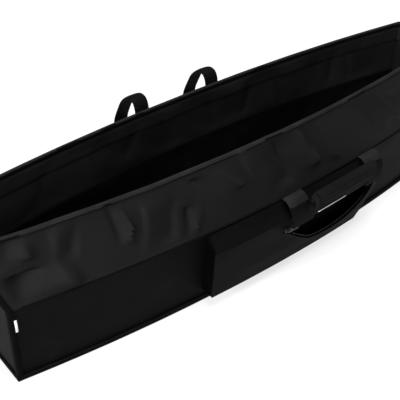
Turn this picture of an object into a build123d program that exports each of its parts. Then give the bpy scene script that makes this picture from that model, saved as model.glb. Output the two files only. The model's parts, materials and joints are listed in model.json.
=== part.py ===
from build123d import *
import math
import os

os.makedirs("parts", exist_ok=True)

# Driving dimensions, in millimetres. The bag lies along X, its front faces -Y, and z is 0 under the base.
# front and back are how far each wall stands from the middle plane at the ends of the bag; the bows add
# to them
# at mid length.
BASE = {"z": 0.0, "length": 848.0, "front": 55.0, "back": 56.0, "front_bow": 34.5, "back_bow": 34.5}
FOLD = {"z": 127.0, "length": 848.0, "front": 61.5, "back": 65.0, "front_bow": 39.0, "back_bow": 39.0}
RIM = {"z": 205.0, "length": 900.0, "front": 13.5, "back": 84.5, "front_bow": 41.0, "back_bow": 32.5}
FRONT = -1
BACK = 1

wall = 3.0
seam_gap = 0.3
reach = 300.0
base_thickness = 3.0
board_thickness = 3.0
board_inset = 6.0
rim_tape = 1.2
rim_tape_height = 8.0
binding_tape = 1.5
corner_tape_width = 12.0
base_binding_low = 0.8
base_binding_high = 10.0
base_binding_gap = 1.3
hem_height = 20.0
hem_thickness = 1.0
piping_height = 4.0
piping_gap = {-1: 0.3, 1: 0.9}

tab_from_end = 5.5
tab_width = 5.0
tab_thickness = 1.0
tab_low = 92.0
tab_high = 112.0

pocket_left = -147.0
pocket_right = 196.0
pocket_bottom = 21.0
pocket_turn_x = 146.0
pocket_shoulder_z = 78.0
pocket_seam_z = 106.0
pocket_depth = 20.0
pocket_wall = 2.5
pocket_round = 14.0
lining_thickness = 0.6
seam_cord = 1.2

zip_z = 84.0
mouth_top = 88.6
mouth_lip = [
    (-27.0, 78.0), (-6.0, 70.0), (14.0, 55.0), (38.0, 41.0), (75.0, 36.0),
    (112.0, 39.0), (140.0, 48.0), (165.0, 63.0), (183.0, 80.0),
]
tape_thickness = 1.0
tape_width = 7.0
row_height = 1.6
row_depth = 1.8
slider_x = -16.0
slider_length = 10.0
slider_height = 6.0
slider_depth = 5.0
slider_channel = 1.8
slider_clear = 0.4
bridge_length = 6.0
bridge_width = 2.4
bridge_depth = 4.4
bridge_window = 2.4
pull_length = 20.0
pull_width = 6.0
pull_thickness = 1.6
pull_pin = 0.9
pull_slot = 4.6

handle_webbing = 38.0
webbing_thickness = 2.4
handle_left_x = 4.0
handle_right_x = 169.0
handle_route = [(3.2, 129.6), (11.0, 128.6), (19.0, 122.5), (25.0, 112.0), (27.6, 100.0), (27.6, 90.0)]
grip_out = 31.5
grip_z = 121.0
grip_depth = 20.0
grip_height = 30.0
grip_round = 9.5
grip_end_gap = 1.0
core_thickness = 3.2
core_height = 12.0
core_drop = 4.0
core_lap = 12.0
flap_thickness = 1.5
patch_thickness = 0.8
strip_length = 56.0
strip_thickness = 0.7

loop_webbing = 25.0
loop_thickness = 2.2
loop_places = {"left": -94.5, "right": 40.5}
loop_route = [(3.4, -8.0), (3.4, -2.0), (5.2, 6.5), (10.0, 13.0), (18.0, 15.2), (26.0, 13.7), (33.0, 9.0),
              (39.4, 1.0), (44.4, -10.0), (48.8, -21.0), (52.6, -32.0), (54.0, -44.0), (48.0, -56.0),
              (34.0, -62.0), (17.0, -57.0), (5.6, -45.0)]
loop_foot_low = 34.0
loop_foot_high = 16.0
loop_foot_gap = 3.6


def station(z):
    """Half length, the two wall distances and the two bows of the outer surface at height z."""
    low, high = (BASE, FOLD) if z <= FOLD["z"] else (FOLD, RIM)
    t = (z - low["z"]) / (high["z"] - low["z"])
    mix = {key: low[key] + (high[key] - low[key]) * t for key in low}
    distances = {FRONT: mix["front"], BACK: mix["back"]}
    bows = {FRONT: mix["front_bow"], BACK: mix["back_bow"]}
    return mix["length"] / 2, distances, bows


def wall_y(x, z, side, gap=0.0):
    """Y of the outer wall surface, an arc that stands out by its bow at the middle, moved out by gap."""
    half_length, distance, bows = station(z)
    bow = bows[side]
    radius = (half_length**2 + bow**2) / (2 * bow)
    return side * (distance[side] + bow - radius + math.sqrt(radius**2 - x**2) + gap)


def strip(z, side, gap, thick, shorten=0.0):
    """Thin curved face at height z: its inner edge stands gap outside the outer wall surface."""
    end = station(z)[0] - shorten
    outer_end = wall_y(end, z, side, gap + thick)
    inner_end = wall_y(end, z, side, gap)
    outer_arc = ThreePointArc((-end, outer_end), (0, wall_y(0, z, side, gap + thick)), (end, outer_end))
    inner_arc = ThreePointArc((end, inner_end), (0, wall_y(0, z, side, gap)), (-end, inner_end))
    edges = [outer_arc, Line(outer_arc @ 1, inner_arc @ 0), inner_arc, Line(inner_arc @ 1, outer_arc @ 0)]
    return Pos(0, 0, z) * make_face(edges)


def panel(z_low, z_high, side, gap, thick, shorten=0.0):
    """Curved sheet between two heights of one wall."""
    levels = [strip(z, side, gap, thick, shorten) for z in (z_low, z_high)]
    return loft(levels, ruled=True)


def tub(z_low, z_high, gap):
    """Solid block of the bag's outline between two heights, moved out by gap."""
    return loft([outline(z_low, gap), outline(z_high, gap)], ruled=True)


def corner_block(low, high):
    """Box given by two opposite corners."""
    size = [b - a for a, b in zip(low, high)]
    middle = [(a + b) / 2 for a, b in zip(low, high)]
    return Pos(*middle) * Box(*size)


def slab(x_low, x_high):
    """Tall block across the whole bag, used to cut a piece out of a panel."""
    return corner_block((x_low, -reach, 0), (x_high, reach, reach))


def front_cutter(edges):
    """Prism through the front of the bag; its outline, drawn as (x, z), is the given closed set of edges."""
    return extrude(Plane.XZ * make_face(edges), reach)


def outline(z, gap):
    """Closed face of the bag's outline at height z, moved out by gap."""
    end = station(z)[0] + gap
    corner = {side: wall_y(station(z)[0], z, side, gap) for side in (FRONT, BACK)}
    front = ThreePointArc((-end, corner[FRONT]), (0, wall_y(0, z, FRONT, gap)), (end, corner[FRONT]))
    back = ThreePointArc((end, corner[BACK]), (0, wall_y(0, z, BACK, gap)), (-end, corner[BACK]))
    edges = [front, Line(front @ 1, back @ 0), back, Line(back @ 1, front @ 0)]
    return Pos(0, 0, z) * make_face(edges)


def end_section(z, side_x):
    """Rectangle across one end wall at height z."""
    half_length, distance, _ = station(z)
    x = side_x * (half_length - wall / 2)
    middle = (distance[BACK] - distance[FRONT]) / 2
    return Pos(x, middle, z) * Rectangle(wall, distance[FRONT] + distance[BACK])


def corner_section(z, side_x, side_y):
    """L-shaped face of the binding tape that covers one corner at height z."""
    half_length, distance, bows = station(z)
    slope = math.atan(2 * bows[side_y] / half_length)
    corner = Vector(side_x * (half_length + seam_gap), side_y * (distance[side_y] + seam_gap))
    along = Vector(-side_x * math.cos(slope), side_y * math.sin(slope))
    out = Vector(side_x * math.sin(slope), side_y * math.cos(slope))
    end_leg = Vector(0, -side_y * corner_tape_width)
    points = [
        corner,
        corner + along * corner_tape_width,
        corner + along * corner_tape_width + out * binding_tape,
        corner + Vector(side_x * binding_tape, side_y * binding_tape),
        corner + Vector(side_x * binding_tape, 0) + end_leg,
        corner + end_leg,
    ]
    return Pos(0, 0, z) * make_face(Polyline(*points, close=True))


def shifted(points, distance):
    """The points of a route, each moved sideways by distance, to the left of its direction."""
    moved = []
    for index, (x, z) in enumerate(points):
        before = points[max(index - 1, 0)]
        after = points[min(index + 1, len(points) - 1)]
        along = Vector(after[0] - before[0], after[1] - before[1]).normalized()
        moved.append((x - along.Y * distance, z + along.X * distance))
    return moved


def band_across(route, thick, width):
    """Webbing that follows a route drawn as (y, z), centred on x = 0."""
    face = Plane(origin=(0, 0, 0), x_dir=(0, 1, 0), z_dir=(1, 0, 0)) * trace(Spline(*route), thick)
    return extrude(face, width / 2, both=True, dir=(1, 0, 0))


def band_edges(points, rise, width):
    """Outline of a band of the given width beside a route, its upper edge raised off the route."""
    high = Spline(*shifted(points, rise))
    low = Spline(*reversed(shifted(points, rise - width)))
    return [high, Line(high @ 1, low @ 0), low, Line(low @ 1, high @ 0)]


def grip_bar(grown):
    """Rounded bar of the grip's shape, grown all round and a little past the grip's ends."""
    length = grip_length if grown == 0 else grip_length + 2
    bar = Box(length, grip_depth + 2 * grown, grip_height + 2 * grown)
    return fillet(bar.edges().filter_by(Axis.X), grip_round + grown)


def save(shape, name):
    export_step(shape, f"parts/{name}.step")


# ---- body ----
wall_top = RIM["z"] - rim_tape - seam_gap
rim_tape_low = RIM["z"] - rim_tape_height
end_gap = wall + seam_gap

save(extrude(outline(0, 0), base_thickness), "base_panel")
save(Pos(0, 0, base_thickness) * extrude(outline(0, -board_inset), board_thickness), "base_board")

for side, side_name in ((FRONT, "front"), (BACK, "back")):
    save(panel(base_thickness, FOLD["z"], side, -wall, wall, end_gap), f"{side_name}_lower_panel")
    save(panel(FOLD["z"], wall_top, side, -wall, wall, end_gap), f"{side_name}_upper_panel")
    piping_face = strip(FOLD["z"], side, piping_gap[side], binding_tape, corner_tape_width + wall)
    save(Pos(0, 0, -piping_height / 2) * extrude(piping_face, piping_height), f"{side_name}_fold_piping")

ring_face = outline(0, base_binding_gap + binding_tape) - outline(0, base_binding_gap)
ring = extrude(ring_face, base_binding_high - base_binding_low)
save(Pos(0, 0, base_binding_low) * ring, "base_binding")

# The rim tape is folded over the top edge of the wall: a leg outside, a leg inside and a closed top.
rim_outer = tub(rim_tape_low, RIM["z"], seam_gap + rim_tape)
rim_inner = tub(rim_tape_low, RIM["z"], -wall - seam_gap - rim_tape)
rim_slot_top = wall_top + seam_gap
rim_slot = tub(rim_tape_low, rim_slot_top, seam_gap) - tub(rim_tape_low, rim_slot_top, -wall - seam_gap)
save(rim_outer - rim_inner - rim_slot, "rim_binding")

hem_top = rim_tape_low - seam_gap
hem_low = hem_top - hem_height
hem_out = -wall - seam_gap
save(tub(hem_low, hem_top, hem_out) - tub(hem_low, hem_top, hem_out - hem_thickness), "inner_hem")

for side_x, end_name in ((-1, "left"), (1, "right")):
    lower = loft([end_section(base_thickness, side_x), end_section(FOLD["z"], side_x)], ruled=True)
    upper = loft([end_section(FOLD["z"], side_x), end_section(wall_top, side_x)], ruled=True)
    save(lower + upper, f"{end_name}_end_panel")
    for side_y, side_name in ((FRONT, "front"), (BACK, "back")):
        heights = (base_binding_high + seam_gap, FOLD["z"], rim_tape_low - seam_gap)
        sections = [corner_section(z, side_x, side_y) for z in heights]
        tape = loft(sections[:2], ruled=True) + loft(sections[1:], ruled=True)
        save(tape, f"{side_name}_{end_name}_corner_binding")

tab_x = -BASE["length"] / 2 + tab_from_end
tab_sheet = panel(tab_low, tab_high, FRONT, 2 * seam_gap + binding_tape, tab_thickness)
save(tab_sheet & slab(tab_x, tab_x + tab_width), "side_tab")

# ---- front pocket: a shallow box sewn on the lower front panel ----
panel_top = pocket_seam_z - seam_gap
pocket_corners = [
    (pocket_left, pocket_bottom),
    (pocket_turn_x, pocket_bottom),
    (pocket_right, pocket_shoulder_z),
    (pocket_right, panel_top),
    (pocket_left, panel_top),
]
pocket_face = make_face(Polyline(*pocket_corners, close=True))
slant_ends = [v for v in pocket_face.vertices() if v.X > pocket_left + 1 and v.Y < panel_top - 1]
pocket_face = fillet(slant_ends, pocket_round)
inner_face = offset(pocket_face, -pocket_wall, kind=Kind.INTERSECTION)
open_top = Rectangle(pocket_right - pocket_left - 2 * pocket_wall, 3 * pocket_wall)
inner_face += Pos((pocket_left + pocket_right) / 2, panel_top) * open_top
pocket_prism = extrude(Plane.XZ * pocket_face, reach)
inner_prism = extrude(Plane.XZ * inner_face, reach)

lip = Spline(*mouth_lip)
mouth_start = mouth_lip[0]
mouth_end = mouth_lip[-1]
mouth_edges = [
    lip,
    Line(mouth_end, (mouth_end[0], mouth_top)),
    Line((mouth_end[0], mouth_top), (mouth_start[0], mouth_top)),
    Line((mouth_start[0], mouth_top), mouth_start),
]
front_sheet = panel(pocket_bottom, panel_top, FRONT, pocket_depth, pocket_wall)
save((front_sheet & pocket_prism) - front_cutter(mouth_edges), "pocket_front_panel")

lining_gap = 0.2
lining = panel(pocket_bottom, FOLD["z"] - piping_height, FRONT, lining_gap, lining_thickness)
save(lining & inner_prism, "pocket_back_lining")

# The gusset is one band round the pocket's sides and bottom, in three pieces, between the wall and the
# front panel.
fill_gap = lining_gap + lining_thickness + seam_gap
filler = panel(pocket_bottom, panel_top, FRONT, fill_gap, pocket_depth - seam_gap - fill_gap)
gusset = filler & (pocket_prism - inner_prism)
gusset_left = pocket_left + pocket_wall
gusset_right = pocket_turn_x - pocket_round
save(gusset & slab(pocket_left, gusset_left), "pocket_left_gusset")
save(gusset & slab(gusset_left + seam_gap, gusset_right), "pocket_base_gusset")
save(gusset & slab(gusset_right + seam_gap, pocket_right), "pocket_right_gusset")

top_high_z = FOLD["z"] - piping_height / 2 - seam_gap
top_sheet = loft(
    [
        strip(pocket_seam_z, FRONT, pocket_depth, pocket_wall),
        strip(top_high_z, FRONT, fill_gap, pocket_wall),
    ],
    ruled=True,
)
save(top_sheet & slab(pocket_left, pocket_right), "pocket_top_panel")

cord_gap = pocket_depth + pocket_wall + 0.1
seam_piping = panel(pocket_seam_z - seam_cord, pocket_seam_z + seam_cord, FRONT, cord_gap, seam_cord)
save(seam_piping & slab(pocket_left, pocket_right), "pocket_seam_piping")

# Zip: the upper tape is straight, the lower one hangs open along the mouth's lip.
tape_gap = pocket_depth - seam_gap - tape_thickness
tape_lap = 4.0
upper_tape = panel(zip_z, mouth_top + tape_lap, FRONT, tape_gap, tape_thickness)
save(upper_tape & slab(mouth_start[0] - tape_lap, mouth_end[0] + 2), "zip_tape_upper")

row_gap = tape_gap + tape_thickness + 0.05
row_end_gap = 4.0
upper_row = panel(zip_z, zip_z + row_height, FRONT, row_gap, row_depth)
save(upper_row & slab(mouth_start[0] + row_end_gap, mouth_end[0] - row_end_gap), "zip_teeth_upper")

tape_rise = 3.0
below_zip = zip_z - 1.0
low_sheet = panel(pocket_bottom + 4, below_zip, FRONT, tape_gap, tape_thickness)
save(low_sheet & front_cutter(band_edges(mouth_lip[1:], tape_rise, tape_width)), "zip_tape_lower")
row_sheet = panel(pocket_bottom + 4, below_zip, FRONT, row_gap, row_depth)
save(row_sheet & front_cutter(band_edges(mouth_lip[1:-1], tape_rise, row_height)), "zip_teeth_lower")

stop_length = 2.5
stop_height = 3.0
stop_sheet = panel(zip_z - 0.7, zip_z - 0.7 + stop_height, FRONT, row_gap, row_depth + 0.5)
stop_left = slab(mouth_start[0] + 1, mouth_start[0] + 1 + stop_length)
stop_right = slab(mouth_end[0] - 1 - stop_length, mouth_end[0] - 1)
save((stop_sheet & stop_left) + (stop_sheet & stop_right), "zip_stops")

# The slider clips over the upper row of teeth from outside. Its bridge runs along the zip, and the pull's
# pin crosses it upright, so the pull lies along the zip and swings outwards from one end of the slider to
# the other.
slider_z = zip_z + row_height / 2
slider_inner_y = wall_y(slider_x, slider_z, FRONT, row_gap + row_depth + slider_clear)
slider_mid_y = slider_inner_y + slider_channel - slider_depth / 2
slider_face_y = slider_mid_y - slider_depth / 2
slider_body = fillet(Box(slider_length, slider_depth, slider_height).edges().filter_by(Axis.Y), 2.0)
channel_height = row_height + 2 * slider_clear
channel = Pos(0, slider_depth / 2, 0) * Box(slider_length + 2, 2 * slider_channel, channel_height)
bridge_sunk = 0.5
pin_out = 1.5
window = Box(bridge_length - bridge_window, bridge_window, bridge_width + 2)
bridge = Box(bridge_length, bridge_depth, bridge_width)
bridge -= Pos(0, bridge_depth / 2 - bridge_sunk - pin_out, 0) * window
bridge_place = Pos(slider_x, slider_face_y + bridge_sunk - bridge_depth / 2, slider_z)
save(Pos(slider_x, slider_mid_y, slider_z) * (slider_body - channel) + bridge_place * bridge, "zip_slider")

pull_back = 0.8
pull_blank = Pos(pull_length / 2 - pull_back, 0, 0) * Box(pull_length, pull_thickness, pull_width)
pull_blank = fillet(pull_blank.edges().filter_by(Axis.Y), 1.0)
slot_length = pull_back + pull_slot + 2
slot = Pos(pull_slot - slot_length / 2, 0, 0) * Box(slot_length, 4, bridge_width + 0.6)
pin = Cylinder(pull_pin, pull_width - 1)
save(Pos(slider_x, slider_face_y - pin_out, slider_z) * (pull_blank - slot + pin), "zip_pull")

# ---- carry handle: its plane runs through the two roots on the fold line ----
root_left = Vector(handle_left_x, wall_y(handle_left_x, FOLD["z"], FRONT))
root_right = Vector(handle_right_x, wall_y(handle_right_x, FOLD["z"], FRONT))
span = (root_right - root_left).length
handle_turn = math.degrees(math.atan2(root_right.Y - root_left.Y, root_right.X - root_left.X))
handle_place = Pos(root_left.X, root_left.Y, 0) * Rot(0, 0, handle_turn)
middle_place = handle_place * Pos(span / 2, 0, 0)

leg = band_across([(-out, up) for out, up in handle_route], webbing_thickness, handle_webbing)
save(handle_place * leg, "handle_leg_left")
save(handle_place * Pos(span, 0, 0) * leg, "handle_leg_right")

grip_length = span - handle_webbing - 2 * grip_end_gap
core_place = Pos(0, -grip_out, grip_z - core_drop)
save(middle_place * core_place * Box(grip_length + 2 * core_lap, core_thickness, core_height), "grip_core")

grip_place = Pos(0, -grip_out, grip_z)
core_hole = Box(grip_length + 2, core_thickness + 2 * seam_gap, core_height + 2 * seam_gap)
save(middle_place * (grip_place * grip_bar(0) - core_place * core_hole), "grip_wrap")

grip_front = grip_out + grip_depth / 2
patch_place = Pos(0, -grip_front - patch_thickness / 2, grip_z + 1)
save(middle_place * patch_place * Box(grip_length - 24, patch_thickness, 4.0), "grip_hook_patch")

# The strip and the flap are slices of shells that fit round the grip.
strip_low = grip_z - grip_height / 2 + 1.0
strip_high = strip_low + 4.5
strip_shell = grip_place * (grip_bar(seam_gap + strip_thickness) - grip_bar(seam_gap))
strip_x = -grip_length / 2 + 2.0
strip_end = strip_x + strip_length
strip_keep = corner_block((strip_x, -2 * grip_front, strip_low), (strip_end, -grip_out, strip_high))
save(middle_place * (strip_shell & strip_keep), "reflective_strip")

flap_gap = patch_thickness + seam_gap
flap_shell = grip_place * (grip_bar(flap_gap + flap_thickness) - grip_bar(flap_gap))
flap_reach = grip_length / 2
flap_keep = corner_block((-flap_reach, -2 * grip_front, grip_z - 1.5), (flap_reach, -grip_out, 2 * grip_z))
save(middle_place * (flap_shell & flap_keep), "grip_flap")

# Stitched patches behind the handle's roots, on the inner side of the front wall.
anchor_low = FOLD["z"] + 5.0
anchor_sheet = panel(anchor_low, anchor_low + 14.0, FRONT, -wall - seam_gap - 1.0, 1.0)
for root_x, name in ((handle_left_x, "left"), (handle_right_x, "right")):
    half = handle_webbing / 2 + 4
    save(anchor_sheet & slab(root_x - half, root_x + half), f"handle_anchor_{name}")

# ---- hanging loops on the back: rings of webbing with both ends sewn under the rim ----
loop_sheet = panel(RIM["z"] - loop_foot_low, RIM["z"] - loop_foot_high + 4, BACK, 0.2, 0.9)
for name, x in loop_places.items():
    rim_y = wall_y(x, RIM["z"], BACK)
    route = [(rim_y + out, RIM["z"] + up) for out, up in loop_route]
    for drop in (loop_foot_low, (loop_foot_low + loop_foot_high) / 2, loop_foot_high):
        route.append((wall_y(x, RIM["z"] - drop, BACK, loop_foot_gap), RIM["z"] - drop))
    save(Pos(x, 0, 0) * band_across(route, loop_thickness, loop_webbing), f"hanging_loop_{name}")
    half = loop_webbing / 2 + 4
    save(loop_sheet & slab(x - half, x + half), f"loop_anchor_{name}")
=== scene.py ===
import json
import math
import bpy
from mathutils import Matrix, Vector, noise


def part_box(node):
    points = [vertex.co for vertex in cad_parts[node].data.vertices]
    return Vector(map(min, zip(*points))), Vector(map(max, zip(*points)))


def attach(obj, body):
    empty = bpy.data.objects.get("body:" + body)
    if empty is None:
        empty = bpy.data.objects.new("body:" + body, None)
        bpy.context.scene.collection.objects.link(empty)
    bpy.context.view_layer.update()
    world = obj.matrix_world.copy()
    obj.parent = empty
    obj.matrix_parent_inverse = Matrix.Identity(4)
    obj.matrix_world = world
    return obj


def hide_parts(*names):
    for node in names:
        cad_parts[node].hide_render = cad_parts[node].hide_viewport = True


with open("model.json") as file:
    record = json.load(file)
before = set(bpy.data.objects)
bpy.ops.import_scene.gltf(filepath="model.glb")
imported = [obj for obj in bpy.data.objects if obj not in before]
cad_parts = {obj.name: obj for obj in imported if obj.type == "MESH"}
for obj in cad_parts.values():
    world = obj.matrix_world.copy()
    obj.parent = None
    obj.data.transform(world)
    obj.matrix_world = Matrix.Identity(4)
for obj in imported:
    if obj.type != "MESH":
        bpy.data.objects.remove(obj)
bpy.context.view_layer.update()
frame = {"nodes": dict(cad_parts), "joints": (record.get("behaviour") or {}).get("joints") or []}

mm = 0.001
front = -1
back = 1
weldGap = 0.00002
shadeAngle = math.radians(32)
stepLength = 5.0

# the sewn shape of the bag: front and back distance at the ends, and how far each wall bows out at mid length
bagShape = {
    "base": {"z": 0.0, "half": 424.0, "front": 55.0, "back": 56.0, "frontBow": 34.5, "backBow": 34.5},
    "fold": {"z": 127.0, "half": 424.0, "front": 61.5, "back": 65.0, "frontBow": 39.0, "backBow": 39.0},
    "rim": {"z": 205.0, "half": 450.0, "front": 13.5, "back": 84.5, "frontBow": 41.0, "backBow": 32.5},
}

# facets where the front wall has creased: middle x and z, half width and height, lean of the sides,
# and how fast the cloth stands out along x and along z
facets = [
    (-256, 177, 10, 21, 0.05, 0.42, -0.10),
    (-374, 147, 33, 14, -0.30, 0.28, -0.44),
    (-388, 187, 17, 12, 0.20, 0.26, -0.28),
    (-163, 144, 11, 20, 0.60, 0.40, -0.12),
    (-101, 178, 20, 12, -1.40, 0.22, -0.20),
    (34, 178, 24, 25, -0.60, 0.24, -0.14),
    (86, 170, 16, 24, -0.50, 0.20, -0.10),
    (-330, 178, 15, 18, 0.30, -0.22, 0.10),
    (-205, 160, 20, 22, 0.40, -0.20, 0.06),
    (-20, 170, 24, 24, -0.60, -0.18, 0.08),
    (222, 172, 26, 22, -0.90, 0.15, -0.10),
    (318, 164, 38, 17, -1.30, 0.10, -0.14),
    (392, 184, 20, 14, 0.60, -0.12, -0.16),
    (-390, 54, 26, 40, -0.10, 0.13, -0.03),
    (-232, 88, 34, 30, 0.20, 0.05, -0.03),
]

# how far from each seam the cloth begins to stand off, how high its waves are, and how soft a facet's border is
drapeLook = {
    "baseFade": 22, "foldFade": 16, "rimFade": (-4, 22), "cornerFade": 34,
    "pocketLeft": (-175, -150), "pocketRight": (-225, -200),
    "backBroad": 3.0, "backFine": 1.6, "backCrease": 1.8,
    "upperBroad": 2.2, "upperFine": 0.8, "upperSoft": 0.88,
    "lowerBroad": 1.4, "lowerFine": 0.3, "lowerSoft": 0.35,
    "warpX": 9, "warpZ": 7, "sideReach": 1.3, "heightReach": 1.35,
}


def smooth(low, high, value):
    # 0 at low, 1 at high, eased between them; low may be the larger
    t = min(max((value - low) / (high - low), 0.0), 1.0)
    return t * t * (3 - 2 * t)


def levelAt(z):
    below, above = ("base", "fold") if z <= bagShape["fold"]["z"] else ("fold", "rim")
    low, high = bagShape[below], bagShape[above]
    t = (z - low["z"]) / (high["z"] - low["z"])
    return {key: low[key] + (high[key] - low[key]) * t for key in low}


def drape(x, z, side):
    # how far the cloth stands off its sewn shape, fading out at every seam
    look = drapeLook
    foldZ = bagShape["fold"]["z"]
    rimZ = bagShape["rim"]["z"]
    cornerX = bagShape["fold"]["half"]
    fade = smooth(0, look["baseFade"], z) * smooth(0, look["foldFade"], abs(z - foldZ))
    fade = fade * smooth(*look["rimFade"], rimZ - z) * smooth(0, look["cornerFade"], cornerX - abs(x))
    if side == front and z < foldZ:
        fade *= 1 - smooth(*look["pocketLeft"], x) * smooth(*look["pocketRight"], -x)
    broad = noise.noise(Vector((x * 0.011, z * 0.017, 3.1 * side)))
    fine = noise.noise(Vector((x * 0.03 + z * 0.02, z * 0.03, 7.7 * side)))
    if side == back:
        crease = 1 - abs(noise.noise(Vector((x * 0.016, z * 0.012 - x * 0.006, 1.3)))) * 4
        return (broad * look["backBroad"] + fine * look["backFine"] + max(0.0, crease) * look["backCrease"]) * fade
    part = "upper" if z > foldZ else "lower"
    value = broad * look[part + "Broad"] + fine * look[part + "Fine"]
    soft = look[part + "Soft"]
    warpX = x + look["warpX"] * noise.noise(Vector((x * 0.02, z * 0.05, 12.0)))
    warpZ = z + look["warpZ"] * noise.noise(Vector((x * 0.03, z * 0.03, 15.0)))
    for middleX, middleZ, wide, tall, lean, slopeX, slopeZ in facets:
        along = (warpX - middleX - (warpZ - middleZ) * lean) / wide
        rise = (warpZ - middleZ) / tall
        mask = smooth(look["sideReach"], soft, abs(along)) * smooth(look["heightReach"], soft, abs(rise))
        value += mask * (slopeX * along * wide + slopeZ * rise * tall)
    return value * fade


def wallPoint(x, z, side, out=0.0):
    # a point on the cloth of the front or back wall, in metres, from x, z and stand-off in millimetres
    level = levelAt(z)
    reach = level["front"] if side == front else level["back"]
    bow = level["frontBow"] if side == front else level["backBow"]
    radius = (level["half"] ** 2 + bow ** 2) / (2 * bow)
    spread = math.sqrt(radius ** 2 - min(abs(x), level["half"]) ** 2)
    y = reach + bow - radius + spread + out + drape(x, z, side)
    return Vector((x, side * y, z)) * mm


# mesh steps round the bag: along the front, across each end, and along the back
around = {"front": 216, "end": 26, "back": 168}
loopSteps = around["front"] + 2 * around["end"] + around["back"]
endLook = {"puff": 1.2, "ripple": 1.8, "baseFade": 40, "rimFade": 30}


def loopPoint(step, z, out=0.0):
    # a point on the closed outline of the bag: front wall, right end, back wall, left end
    half = levelAt(z)["half"]
    step = step % loopSteps
    if step <= around["front"]:
        return wallPoint((2 * step / around["front"] - 1) * (half + out), z, front, out)
    step -= around["front"]
    if step <= around["end"]:
        return endPoint(step / around["end"], z, 1, out)
    step -= around["end"]
    if step <= around["back"]:
        return wallPoint((1 - 2 * step / around["back"]) * (half + out), z, back, out)
    return endPoint(1 - (step - around["back"]) / around["end"], z, -1, out)


def endPoint(t, z, side, out=0.0):
    # a point on an end panel, t running from 0 at the front corner to 1 at the back corner; it puffs out a little
    half = levelAt(z)["half"]
    frontY = wallPoint(half, z, front, out).y / mm
    backY = wallPoint(half, z, back, out).y / mm
    rimZ = bagShape["rim"]["z"]
    puff = math.sin(math.pi * t) * smooth(0, endLook["baseFade"], z) * smooth(0, endLook["rimFade"], rimZ - z)
    ripple = noise.noise(Vector((t * 2.2, z * 0.016, 5.0 * side))) * endLook["ripple"]
    return Vector((side * (half + out + puff * (endLook["puff"] + ripple)), frontY + (backY - frontY) * t, z)) * mm


def stepRound(p):
    # where a point of a round pattern falls, in steps round the bag
    return (math.atan2(p.y, p.x) / (2 * math.pi) % 1) * loopSteps


# making and shaping
def clearSelection():
    if bpy.context.object and bpy.context.object.mode != "OBJECT":
        bpy.ops.object.mode_set(mode="OBJECT")
    bpy.ops.object.select_all(action="DESELECT")


def named(name):
    piece = bpy.context.object
    piece.name = name
    piece.data.name = name
    bpy.ops.object.transform_apply(location=True, rotation=True, scale=True)
    return piece


def only(piece):
    clearSelection()
    piece.select_set(True)
    bpy.context.view_layer.objects.active = piece
    return piece


def editWhole(piece, *steps):
    # runs edit-mode steps, each an operator and its settings, on every point of the piece
    only(piece)
    bpy.ops.object.mode_set(mode="EDIT")
    bpy.ops.mesh.select_all(action="SELECT")
    for step, settings in steps:
        step(**settings)
    bpy.ops.object.mode_set(mode="OBJECT")
    return piece


def cutEdges(piece, cuts, wanted):
    # subdivides the edges that wanted(a, b) picks, a and b being their ends
    only(piece)
    bpy.ops.object.mode_set(mode="EDIT")
    bpy.ops.mesh.select_mode(type="EDGE")
    bpy.ops.mesh.select_all(action="DESELECT")
    bpy.ops.object.mode_set(mode="OBJECT")
    points = piece.data.vertices
    for edge in piece.data.edges:
        a, b = (points[i].co for i in edge.vertices)
        edge.select = wanted(a, b)
    bpy.ops.object.mode_set(mode="EDIT")
    bpy.ops.mesh.subdivide(number_cuts=cuts)
    bpy.ops.object.mode_set(mode="OBJECT")
    return piece


def lay(piece, place, pattern=None):
    # moves every point of a flat pattern to its place, and keeps the pattern's own measures for the weave
    attribute = piece.data.attributes.new("weave", "FLOAT_VECTOR", "POINT")
    for vertex in piece.data.vertices:
        flat = vertex.co.copy()
        attribute.data[vertex.index].vector = pattern(flat) if pattern else flat
        vertex.co = place(flat)
    piece.data.update()
    return piece


def finishWith(piece, *modifiers):
    only(piece)
    for kind, settings in modifiers:
        modifier = piece.modifiers.new(kind.title(), kind)
        for key, value in settings.items():
            setattr(modifier, key, value)
        bpy.ops.object.modifier_apply(modifier=modifier.name)
    return piece


def tidyNormals(piece):
    return editWhole(
        piece, (bpy.ops.mesh.remove_doubles, {"threshold": weldGap}),
        (bpy.ops.mesh.normals_make_consistent, {"inside": False}),
    )


def thicken(piece, thick, offset=-1):
    # gives a sheet of cloth its thickness, inwards unless told otherwise
    finishWith(piece, ("SOLIDIFY", {"thickness": thick * mm, "offset": offset}))
    return tidyNormals(piece)


def dress(piece, body, materials, nodes=()):
    for material in materials:
        piece.data.materials.append(material)
    only(piece)
    bpy.ops.object.shade_smooth_by_angle(angle=shadeAngle)
    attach(piece, body)
    if nodes:
        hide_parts(*nodes)
    return piece


def flatSheet(name, columns, rows):
    # a unit square of cloth, its x and y running from 0 to 1
    clearSelection()
    bpy.ops.mesh.primitive_grid_add(x_subdivisions=columns, y_subdivisions=rows, size=1, location=(0.5, 0.5, 0))
    return named(name)


def tapeSolid(name, steps, sides):
    # a unit tape: x runs along it from 0 to 1, y and z are its rounded section from -1 to 1
    clearSelection()
    bpy.ops.mesh.primitive_cylinder_add(
        vertices=sides, radius=1, depth=1, end_fill_type="NGON",
        location=(0.5, 0, 0), rotation=(0, math.radians(90), 0),
    )
    piece = named(name)
    cutEdges(piece, steps - 1, lambda a, b: abs(a.x - b.x) > 0.5)
    return piece


def squareUp(y, z, power=4.0):
    # a round section pulled out towards a flat tape's section
    angle = math.atan2(z, y)
    c, s = math.cos(angle), math.sin(angle)
    size = (abs(c) ** power + abs(s) ** power) ** (-1 / power)
    return c * size * min(1, math.hypot(y, z)), s * size * min(1, math.hypot(y, z))


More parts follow.
